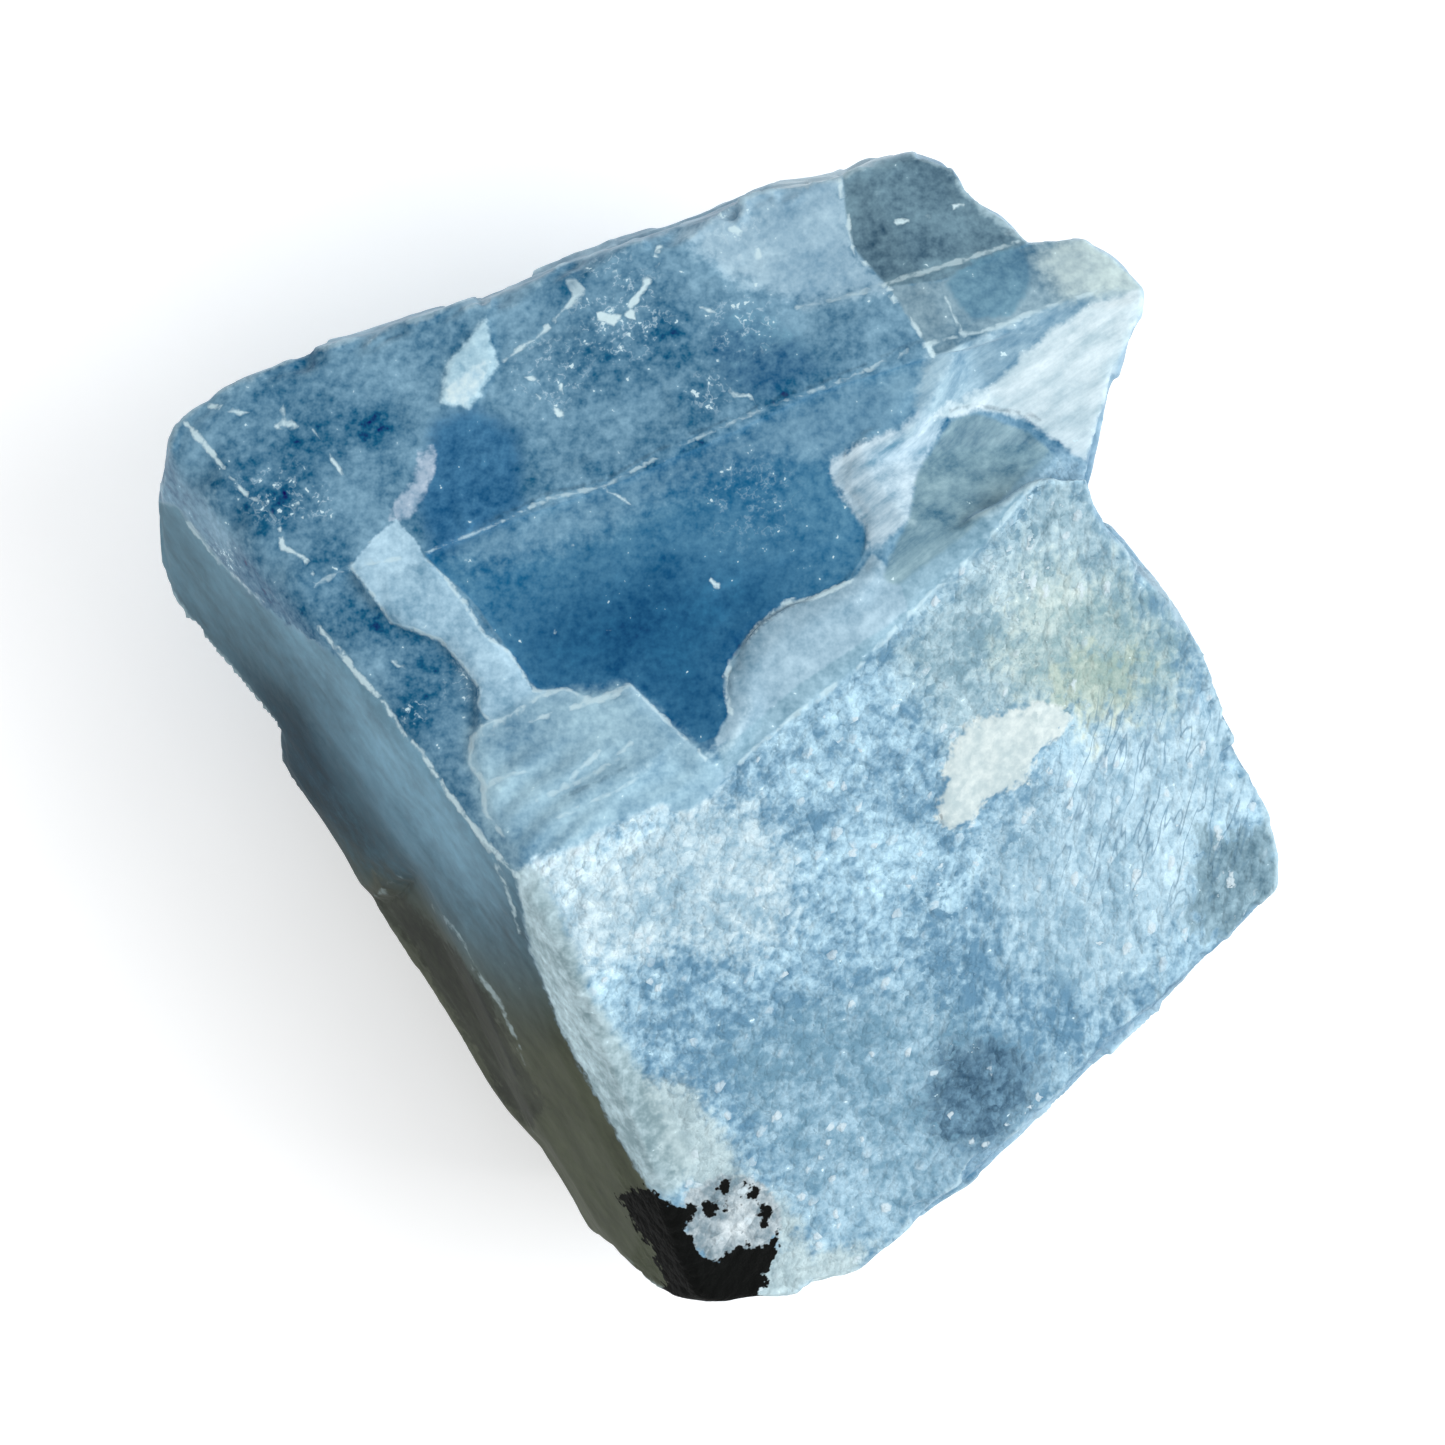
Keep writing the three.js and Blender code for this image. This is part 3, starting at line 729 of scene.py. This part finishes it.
def nearest(points, lines):
    """The distance from the nearest line's border, negative inside it, and the strength of that line."""
    far = np.stack([along(points, line) - half for half, _, line in lines])
    return far.min(axis=0), np.array([strength for _, strength, _ in lines])[far.argmin(axis=0)]


def keep_tones(mesh, surface):
    """How light each part of the stone is, mostly from -2 to 2, and what faces north rather than south."""
    at, out = surface.at, surface.out
    along_cleavage = np.stack([at @ STEP_RUN / 5, at @ STEPS, surface.height / 2], axis=1)
    north_tone = 0.25 * standard(rough(along_cleavage, 0.7, seed=21, octaves=2))
    north_tone += 0.75 * standard(rough(at, 2.2, seed=22))
    north_tone += 0.8 * (ramp(surface.plan @ (0.5, 0.86), -2.0, 16.0) - 0.5)  # lighter to the north-east
    south_tone = 0.6 * standard(rough(at, 4.5, seed=23, octaves=3))
    south_tone += 0.7 * standard(rough(at, 1.1, seed=24, octaves=3))
    flank_tone = standard(rough(at * (1, 1, 0.5), 5.0, seed=25))
    wall_tone = 0.6 * standard(surface.large + 0.8 * surface.small)
    wall_tone += 0.6 * standard(rough(at, 2.6, seed=26))
    faces_north = ramp(out @ NORTH_FACE.normal - out @ SOUTH_FACE.normal, -0.15, 0.15)
    keep(mesh, "tone", north_tone, south_tone, flank_tone)
    keep(mesh, "walls", wall_tone, faces_north)


def keep_wear(mesh, surface, proud):
    """How far each vertex stands proud, and which parts count as the top and as its worn rim."""
    (east, north), height = surface.plan.T, surface.height
    inside = within(surface.plan, SOUTH_SIDE)
    under_south = ramp(over(surface.at, SOUTH_FACE), -1.2, -2.2)
    upward = surface.up * (1 - ramp(inside, -0.5, 0.5) * under_south)
    bevel = ramp(height, 12.0, 14.0) * ramp(east, -12.0, -13.5)
    rim = ramp(surface.out @ FLANK_AWAY, -0.15, 0.1) * np.maximum(bevel, ramp(inside, -0.6, -0.2))
    corner_wall = ramp(north, -15.0, -17.0) * ramp(height, 13.0, 11.0)
    keep(mesh, "wear", 8 * proud, upward * (1 - corner_wall), rim * (1 - corner_wall))


def keep_texture(mesh, surface):
    """Where the frosted face is ribbed and cracked, what is scuffed, and what isn't steep."""
    ribs = ramp(surface.plan[:, 0] + 3.0 * noise(surface.at, 4.0, seed=27), 8.0, 14.0)
    cracked = ribs * near(surface.plan, CRACKS_CENTRE, 7.0, 3.0)
    leaning = ramp(surface.out[:, 2], 0.15, 0.3)
    scuffs = [thick * near(surface.plan, centre, reach, 0.2 * reach) for centre, reach, thick in SCUFFS]
    keep(mesh, "cracked", cracked, leaning)
    keep(mesh, "south", within(surface.plan, SOUTH_SIDE), ribs, np.max(scuffs, axis=0))


def keep_marks(mesh, surface):
    """The distances from the borders of the lines, of the black crust and of every patch."""
    soot = np.max([within(surface.plan, outline) for outline in SOOT], axis=0)
    soot = np.minimum(soot, 0.5 * (surface.height - CRUST_FOOT + 2.0 * rough(surface.at, 3.0, seed=28)))
    keep(mesh, "white", *nearest(surface.plan, WHITE_LINES), soot)
    keep(mesh, "dark", *nearest(surface.plan, SHADE_LINES), within(surface.plan, FLANK_SIDE))
    for attribute, names in MARKS.items():
        keep(mesh, attribute, *[within(surface.plan, PATCHES[name].outline) for name in names])


def keep_all(mesh):
    """Stores everything that the material reads from the mesh."""
    xyz, pairs, out = places(mesh), edges(mesh), normals(mesh)
    proud = ((xyz - smoothed(xyz, pairs, 12)) * out).sum(1)
    surface = Surface(xyz - SHIFT, unit(smoothed(out, pairs, 5)))
    keep_tones(mesh, surface)
    keep_wear(mesh, surface, proud)
    keep_texture(mesh, surface)
    keep_marks(mesh, surface)


# ---- The material ----------------------------------------


def srgb(r, g, b):
    """A colour given as it looks, from 0 to 255, as the shader wants it."""
    c = np.array([r, g, b]) / 255
    return (*np.where(c <= 0.04045, c / 12.92, ((c + 0.055) / 1.055) ** 2.4), 1.0)


def exposed(colour, exposure):
    """A colour as it looks, made the surface's own colour where light of this strength falls on it."""
    return (*[min(c / exposure, 0.95) for c in srgb(*colour)[:3]], 1.0)


class Graph:
    """Builds the nodes of a material or a world. Every method but node returns the socket that it made."""

    def __init__(self, material):
        material.use_nodes = True
        self.tree = material.node_tree
        self.tree.nodes.clear()

    def node(self, kind, inputs=(), **settings):
        made = self.tree.nodes.new("ShaderNode" + kind)
        for name, value in settings.items():
            setattr(made, name, value)
        for name, value in dict(inputs).items():
            if isinstance(value, bpy.types.NodeSocket):
                self.tree.links.new(value, made.inputs[name])
            else:
                made.inputs[name].default_value = value
        return made

    def math(self, operation, a, b=0.0, c=0.0):
        return self.node("Math", {0: a, 1: b, 2: c}, operation=operation).outputs[0]

    def add(self, a, b):
        return self.math("ADD", a, b)

    def minus(self, a, b):
        return self.math("SUBTRACT", a, b)

    def times(self, a, b):
        return self.math("MULTIPLY", a, b)

    def scaled(self, a, factor, plus):
        """a * factor + plus"""
        return self.math("MULTIPLY_ADD", a, factor, plus)

    def higher(self, a, b):
        return self.math("MAXIMUM", a, b)

    def off_middle(self, a, middle):
        """How far a is from the middle, on either side."""
        return self.math("ABSOLUTE", self.minus(a, middle))

    def all_of(self, *masks):
        total = masks[0]
        for mask in masks[1:]:
            total = self.times(total, mask)
        return total

    def outside(self, mask):
        return self.minus(1.0, mask)

    def ramp(self, value, low, high, start=0.0, end=1.0):
        inputs = {"Value": value, "From Min": low, "From Max": high, "To Min": start, "To Max": end}
        return self.node("MapRange", inputs, interpolation_type="SMOOTHSTEP").outputs[0]

    def mix(self, factor, a, b, blend="MIX"):
        inputs = {0: factor, 6: a, 7: b}
        return self.node("Mix", inputs, data_type="RGBA", blend_type=blend, clamp_factor=True).outputs[2]

    def blend(self, tone, dark, light):
        """The colour at this tone, 0 at the darker and 1 at the lighter one, and beyond them too."""
        inputs = {0: tone, 6: dark, 7: light}
        return self.node("Mix", inputs, data_type="RGBA", clamp_factor=False, clamp_result=True).outputs[2]


class Stone(Graph):
    """The calcite's material: what the mesh keeps for it, and the noises that its parts share."""

    def __init__(self, material):
        super().__init__(material)
        place = self.node("TexCoord").outputs["Object"]
        self.place = self.node("VectorMath", {0: place, 1: (1 / MM,) * 3}, operation="MULTIPLY").outputs[0]
        self.north_tone, self.south_tone, self.flank_tone = self.kept("tone")
        self.wall_tone, self.faces_north = self.kept("walls")[:2]
        self.proud, self.upward, self.rim = self.kept("wear")
        self.cracked, self.leaning = self.kept("cracked")[:2]
        self.south_side, self.ribs, self.scuff = self.kept("south")
        self.white, self.white_strength, self.soot = self.kept("white")
        self.dark, self.dark_strength, self.flank_side = self.kept("dark")
        self.marks = {}
        for attribute, names in MARKS.items():
            self.marks.update(zip(names, self.kept(attribute)))

        self.fine = self.noise(0.7, detail=3.0, roughness=0.6)
        self.specks = self.noise(0.4, detail=2.0, roughness=0.65)
        self.mottle = self.add(self.minus(self.fine, 0.5), self.scaled(self.specks, 0.8, -0.4))
        self.ragged = self.times(self.mottle, 0.7)
        self.flank = self.ramp(self.scaled(self.ragged, 0.6, self.flank_side), -0.12, 0.12)
        self.top = self.higher(self.upward, self.times(self.rim, self.outside(self.flank)))

        # The grains of the frost are long towards the north-east, and upright among the ribs.
        slant = self.stretch((1.0, 1.2, 1.0), -40.0)
        upright = self.stretch((1.0, 2.4, 1.0), 4.0)
        ribbed = self.math("GREATER_THAN", self.scaled(self.ragged, 3.0, self.ribs), 0.5)
        turned = self.mix(ribbed, slant, upright)
        self.grain = self.noise(0.6, turned, detail=2.0, roughness=0.65)
        crystals = self.node("TexVoronoi", {"Vector": turned, "Scale": 1 / 0.5}, feature="F1").outputs
        self.crystal = self.node("SeparateColor", {0: crystals["Color"]}).outputs[0]
        self.humped = self.scaled(self.mottle, 1.2, crystals["Distance"])
        on_face = self.ramp(self.south_side, -0.1, 0.3)
        off_rim = self.ramp(self.marks["rim"], 0.3, -0.3)
        off_cream = self.ramp(self.marks["cream"], 0.1, -0.1)
        self.frosty = self.all_of(on_face, off_rim, off_cream)

    def kept(self, name):
        """The three values of an attribute of the mesh."""
        vector = self.node("Attribute", attribute_name=name, attribute_type="GEOMETRY").outputs["Vector"]
        return self.node("SeparateXYZ", {0: vector}).outputs

    def stretch(self, scale, turn):
        """The place, stretched along axes that are turned by this angle."""
        inputs = {"Vector": self.place, "Scale": scale, "Rotation": (0, 0, math.radians(turn))}
        return self.node("Mapping", inputs, vector_type="TEXTURE").outputs[0]

    def noise(self, size, vector=None, detail=3.0, roughness=0.55):
        """Noise around 0.5 whose lumps are about size millimetres."""
        place = vector or self.place
        inputs = {"Vector": place, "Scale": 1 / size, "Detail": detail, "Roughness": roughness}
        return self.node("TexNoise", inputs).outputs[0]

    def shaded(self, tone, pair, exposure):
        return self.blend(tone, *[exposed(colour, exposure) for colour in pair])

    def painted(self, colour, patches, tones, exposure, ragged):
        """The colour with patches painted over it, each between its darker and its lighter tone."""
        for name, patch in patches.items():
            inside = self.ramp(self.scaled(ragged, patch.ragged, self.marks[name]), -patch.soft, patch.soft)
            paint = self.shaded(tones[name], (patch.dark, patch.light), exposure)
            colour = self.mix(self.times(inside, patch.strength), colour, paint)
        return colour


def clear_stone(g):
    """The north face: clear blue stone and its patches, with fine squiggles where it is scuffed."""
    tone = g.add(g.scaled(g.north_tone, 0.34, 0.5), g.times(g.mottle, 0.8))
    tone = g.scaled(g.minus(g.specks, 0.5), 1.6, tone)
    fibres = g.noise(0.8, g.stretch((4.0, 1.0, 1.0), 38.0), detail=4.0, roughness=0.65)
    fibres = g.scaled(g.mottle, 0.8, g.scaled(fibres, 3.6, -1.3))
    calm = g.add(g.scaled(g.north_tone, 0.24, 0.5), g.scaled(g.specks, 2.4, -1.2))
    tones = dict.fromkeys(NORTH_PATCHES, tone) | dict.fromkeys(FIBROUS, fibres) | dict.fromkeys(CALM, calm)
    colour = g.painted(g.shaded(tone, CLEAR, NORTH_LIGHT), NORTH_PATCHES, tones, NORTH_LIGHT, g.ragged)
    squiggles = g.ramp(g.off_middle(g.fine, 0.52), 0.03, 0.012)
    squiggles = g.all_of(squiggles, g.ramp(g.specks, 0.44, 0.54), g.ramp(g.scuff, 0.1, 0.7), 0.45)
    return g.mix(squiggles, colour, exposed(SQUIGGLE, NORTH_LIGHT))


def frosted_stone(g):
    """The south face: grains of frost with white dots, and fine cracks among the ribs."""
    tone = g.add(g.scaled(g.south_tone, 0.24, 0.5), g.scaled(g.grain, 1.5, -0.75))
    tone = g.add(g.scaled(g.minus(g.crystal, 0.5), 0.4, tone), g.times(g.mottle, 0.4))
    tone = g.scaled(g.minus(g.specks, 0.5), 2.0, g.scaled(g.cracked, 0.12, tone))
    tone = g.math("SMOOTH_MAX", tone, 0.0, 0.5)
    grainy = g.scaled(g.grain, 1.2, g.minus(g.ragged, 0.6))
    tones = dict.fromkeys(SOUTH_PATCHES, tone)
    colour = g.painted(g.shaded(tone, FROST, SOUTH_LIGHT), SOUTH_PATCHES, tones, SOUTH_LIGHT, grainy)
    bunched = g.ramp(g.scaled(g.south_tone, 0.08, g.crystal), 0.8, 0.95)
    dots = g.all_of(g.ramp(g.humped, 0.4, 0.2), bunched, g.frosty)
    colour = g.mix(g.times(dots, 0.8), colour, exposed(FROST_DOT, SOUTH_LIGHT))
    cracks = g.noise(1.1, g.stretch((0.7, 6.0, 1.0), -12.0), detail=2.0)
    cracks = g.all_of(g.ramp(g.off_middle(cracks, 0.5), 0.03, 0.0), g.cracked)
    cracks = g.times(cracks, g.ramp(g.scaled(g.mottle, 2.0, g.south_tone), -1.2, 0.8))
    colour = g.mix(g.times(cracks, 0.6), colour, exposed(CRACK, SOUTH_LIGHT))
    lift = SOUTH_LIGHT / NORTH_LIGHT  # for the parts of it that face north, where less light falls
    return g.mix(g.faces_north, colour, (lift, lift, lift, 1.0), "MULTIPLY")


def broken_wall(g):
    """The steep walls, cloudy in places."""
    tone = g.add(g.scaled(g.wall_tone, 0.32, 0.5), g.times(g.mottle, 1.2))
    cloudy = g.ramp(g.flank_tone, 0.0, 2.2)
    return g.mix(g.times(cloudy, 0.7), g.shaded(tone, WALL, WALL_LIGHT), exposed(CLOUDY_WALL, WALL_LIGHT))


def dark_flank(g):
    """The flank: darker to the south-east, olive at its foot, blue at its crown and streaked along it."""
    height = g.node("SeparateXYZ", {0: g.place}).outputs[2]
    south_east = (0.61, -0.79, 0.0)
    run = g.node("VectorMath", {0: g.place, 1: south_east}, operation="DOT_PRODUCT").outputs["Value"]
    west, south = exposed(FLANK_WEST, FLANK_LIGHT), exposed(FLANK_SOUTH, FLANK_LIGHT)
    foot, crown = exposed(FLANK_FOOT, FLANK_LIGHT), exposed(FLANK_CROWN, FLANK_LIGHT)
    colour = g.mix(g.ramp(run, -18.0, -9.0), west, south)
    colour = g.mix(g.ramp(g.scaled(height, -0.6, g.add(run, 8.4)), -8.0, 4.0), colour, foot)
    colour = g.mix(g.times(g.ramp(height, 13.0, 21.5), g.ramp(run, 7.0, -4.0)), colour, crown)
    tone = g.add(g.scaled(g.flank_tone, 0.3, 0.5), g.mottle)
    tones = dict.fromkeys(FLANK_PATCHES, tone)
    colour = g.painted(colour, FLANK_PATCHES, tones, FLANK_LIGHT, g.ragged)
    streaks = g.noise(1.7, g.stretch((2.4, 1.0, 1.4), -53.0), detail=3.0, roughness=0.7)
    streaks = g.scaled(streaks, 1.5, g.scaled(g.flank_tone, 0.08, 0.4))
    return g.mix(1.0, colour, g.scaled(g.mottle, 0.5, streaks), "MULTIPLY")


def marked(g, colour):
    """The colour with worn edges and painted glow, painted shade, white lines and flecks drawn over it."""
    pale = exposed(CRUSHED_AND_LIT, WORN_LIGHT)
    # Pale where an edge stands proud: worn crystal, and painted light for the glow of thin edges.
    worn = g.ramp(g.add(g.mottle, g.proud), 0.45, 1.1)
    colour = g.mix(g.times(worn, 0.28), colour, pale)
    drawn = g.higher(g.top, g.times(g.flank, g.leaning))
    # Painted shade: dark lines along the steps, on the top and on the leaning flank.
    shadow = g.all_of(g.ramp(g.scaled(g.ragged, 0.3, g.dark), 0.1, -0.06), g.dark_strength, drawn)
    painted_shade = g.mix(g.flank, exposed(SHADE_COLOUR, NORTH_LIGHT), exposed(SHADE_COLOUR_ON_FLANK, FLANK_LIGHT))
    colour = g.mix(shadow, colour, painted_shade)
    # The white lines: crushed crystal, and a painted highlight along one lit step.
    wavering = g.scaled(g.north_tone, -0.02, g.scaled(g.ragged, 0.4, g.white))
    gaps = g.ramp(g.north_tone, -2.6, -1.4)
    crushed = g.all_of(g.ramp(wavering, 0.09, -0.03), g.white_strength, gaps, drawn)
    colour = g.mix(crushed, colour, pale)
    fleck = g.ramp(g.scaled(g.scuff, 0.14, g.specks), 0.72, 0.77)
    return g.mix(g.all_of(fleck, g.top, 0.85), colour, pale)


def bumps(g):
    """Relief finer than the mesh: heaped grains on the frost, and a little roughness everywhere."""
    heaped = g.scaled(g.humped, -0.2, g.times(g.grain, 0.2))
    relief = g.scaled(heaped, g.frosty, g.scaled(g.specks, 0.02, g.times(g.fine, 0.03)))
    return g.node("Bump", {"Strength": 0.8, "Distance": MM, "Height": relief}).outputs[0]


def blue_calcite():
    material = bpy.data.materials.new("blue_calcite")
    g = Stone(material)
    colour = clear_stone(g)
    on_south = g.ramp(g.scaled(g.ragged, 0.5, g.south_side), -0.15, 0.15)
    colour = g.mix(on_south, colour, frosted_stone(g))
    colour = g.mix(g.outside(g.top), colour, broken_wall(g))
    colour = g.mix(g.flank, colour, dark_flank(g))
    colour = marked(g, colour)
    black = g.ramp(g.scaled(g.ragged, 1.6, g.soot), -0.06, 0.06)
    colour = g.mix(black, colour, srgb(*CRUST))

    roughness = g.add(g.scaled(g.mottle, 0.3, 0.4), g.times(g.ramp(g.south_side, -0.1, 0.2), 0.2))
    roughness = g.higher(g.add(roughness, g.times(g.flank, 0.35)), black)
    inputs = {
        "Base Color": colour, "Roughness": roughness, "Normal": bumps(g),
        "IOR": 1.6, "Specular IOR Level": 0.12,
    }
    g.node("OutputMaterial", {"Surface": g.node("BsdfPrincipled", inputs).outputs[0]})
    return material


# ---- The stone -------------------------------------------

mesh = dressed(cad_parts["raw_calcite"])
keep_all(mesh)
mesh.materials.clear()
mesh.materials.append(blue_calcite())
stone = shown("raw_calcite_stone", mesh)

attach(stone, "root")
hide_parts("raw_calcite")

# ---- Floor, light and camera -----------------------------

FLOOR_REACH = 3.0  # metres from the stone to the sides of the floor
CAMERA_HEIGHT = 0.56


def white_paper():
    material = bpy.data.materials.new("white_paper")
    g = Graph(material)
    grain = g.node("TexNoise", {"Scale": 900.0, "Detail": 3.0}).outputs[0]
    colour = g.mix(grain, (0.88, 0.88, 0.88, 1), (0.92, 0.92, 0.92, 1))
    inputs = {
        "Base Color": colour, "Roughness": 0.9,
        "Emission Color": (1.0, 1.0, 1.0, 1.0), "Emission Strength": 0.36,
    }
    g.node("OutputMaterial", {"Surface": g.node("BsdfPrincipled", inputs).outputs[0]})
    return material


def studio():
    """Pale light from all around, brightest from halfway up in the east."""
    world = bpy.data.worlds.new("studio")
    g = Graph(world)
    brightest = {0: g.node("TexCoord").outputs["Generated"], 1: tuple(facing(-25, 45))}
    toward = g.node("VectorMath", brightest, operation="DOT_PRODUCT").outputs["Value"]
    glow = g.ramp(toward, -0.5, 1.0, 0.3, 0.95)
    light = g.node("Background", {"Color": (0.97, 0.985, 1.0, 1), "Strength": glow})
    g.node("OutputWorld", {"Surface": light.outputs[0]})
    return world


def add_lamp(name, heading, height, distance, size, power):
    """A soft square lamp, aimed at the stone."""
    light = bpy.data.lights.new(name, "AREA")
    light.size = size
    light.energy = power
    made = shown(name, light)
    place = facing(heading, 90 - height) * distance
    made.location = place
    made.rotation_euler = (-Vector(place)).to_track_quat("-Z", "Y").to_euler()


r = FLOOR_REACH
floor_mesh = bpy.data.meshes.new("floor")
floor_mesh.from_pydata([(-r, -r, 0), (r, -r, 0), (r, r, 0), (-r, r, 0)], [], [(0, 1, 2, 3)])
floor_mesh.materials.append(white_paper())
floor = shown("floor", floor_mesh)

bpy.context.scene.world = studio()
add_lamp("key", heading=0, height=45, distance=0.8, size=0.5, power=3.4)

camera = bpy.data.cameras.new("camera")
camera.lens = 330.0
camera.sensor_width = 36.0
camera.clip_start = 0.01
eye = shown("camera", camera)
eye.location = (0.0, 0.0, CAMERA_HEIGHT)  # straight above, looking down
bpy.context.scene.camera = eye
bpy.context.scene.view_settings.view_transform = "Standard"
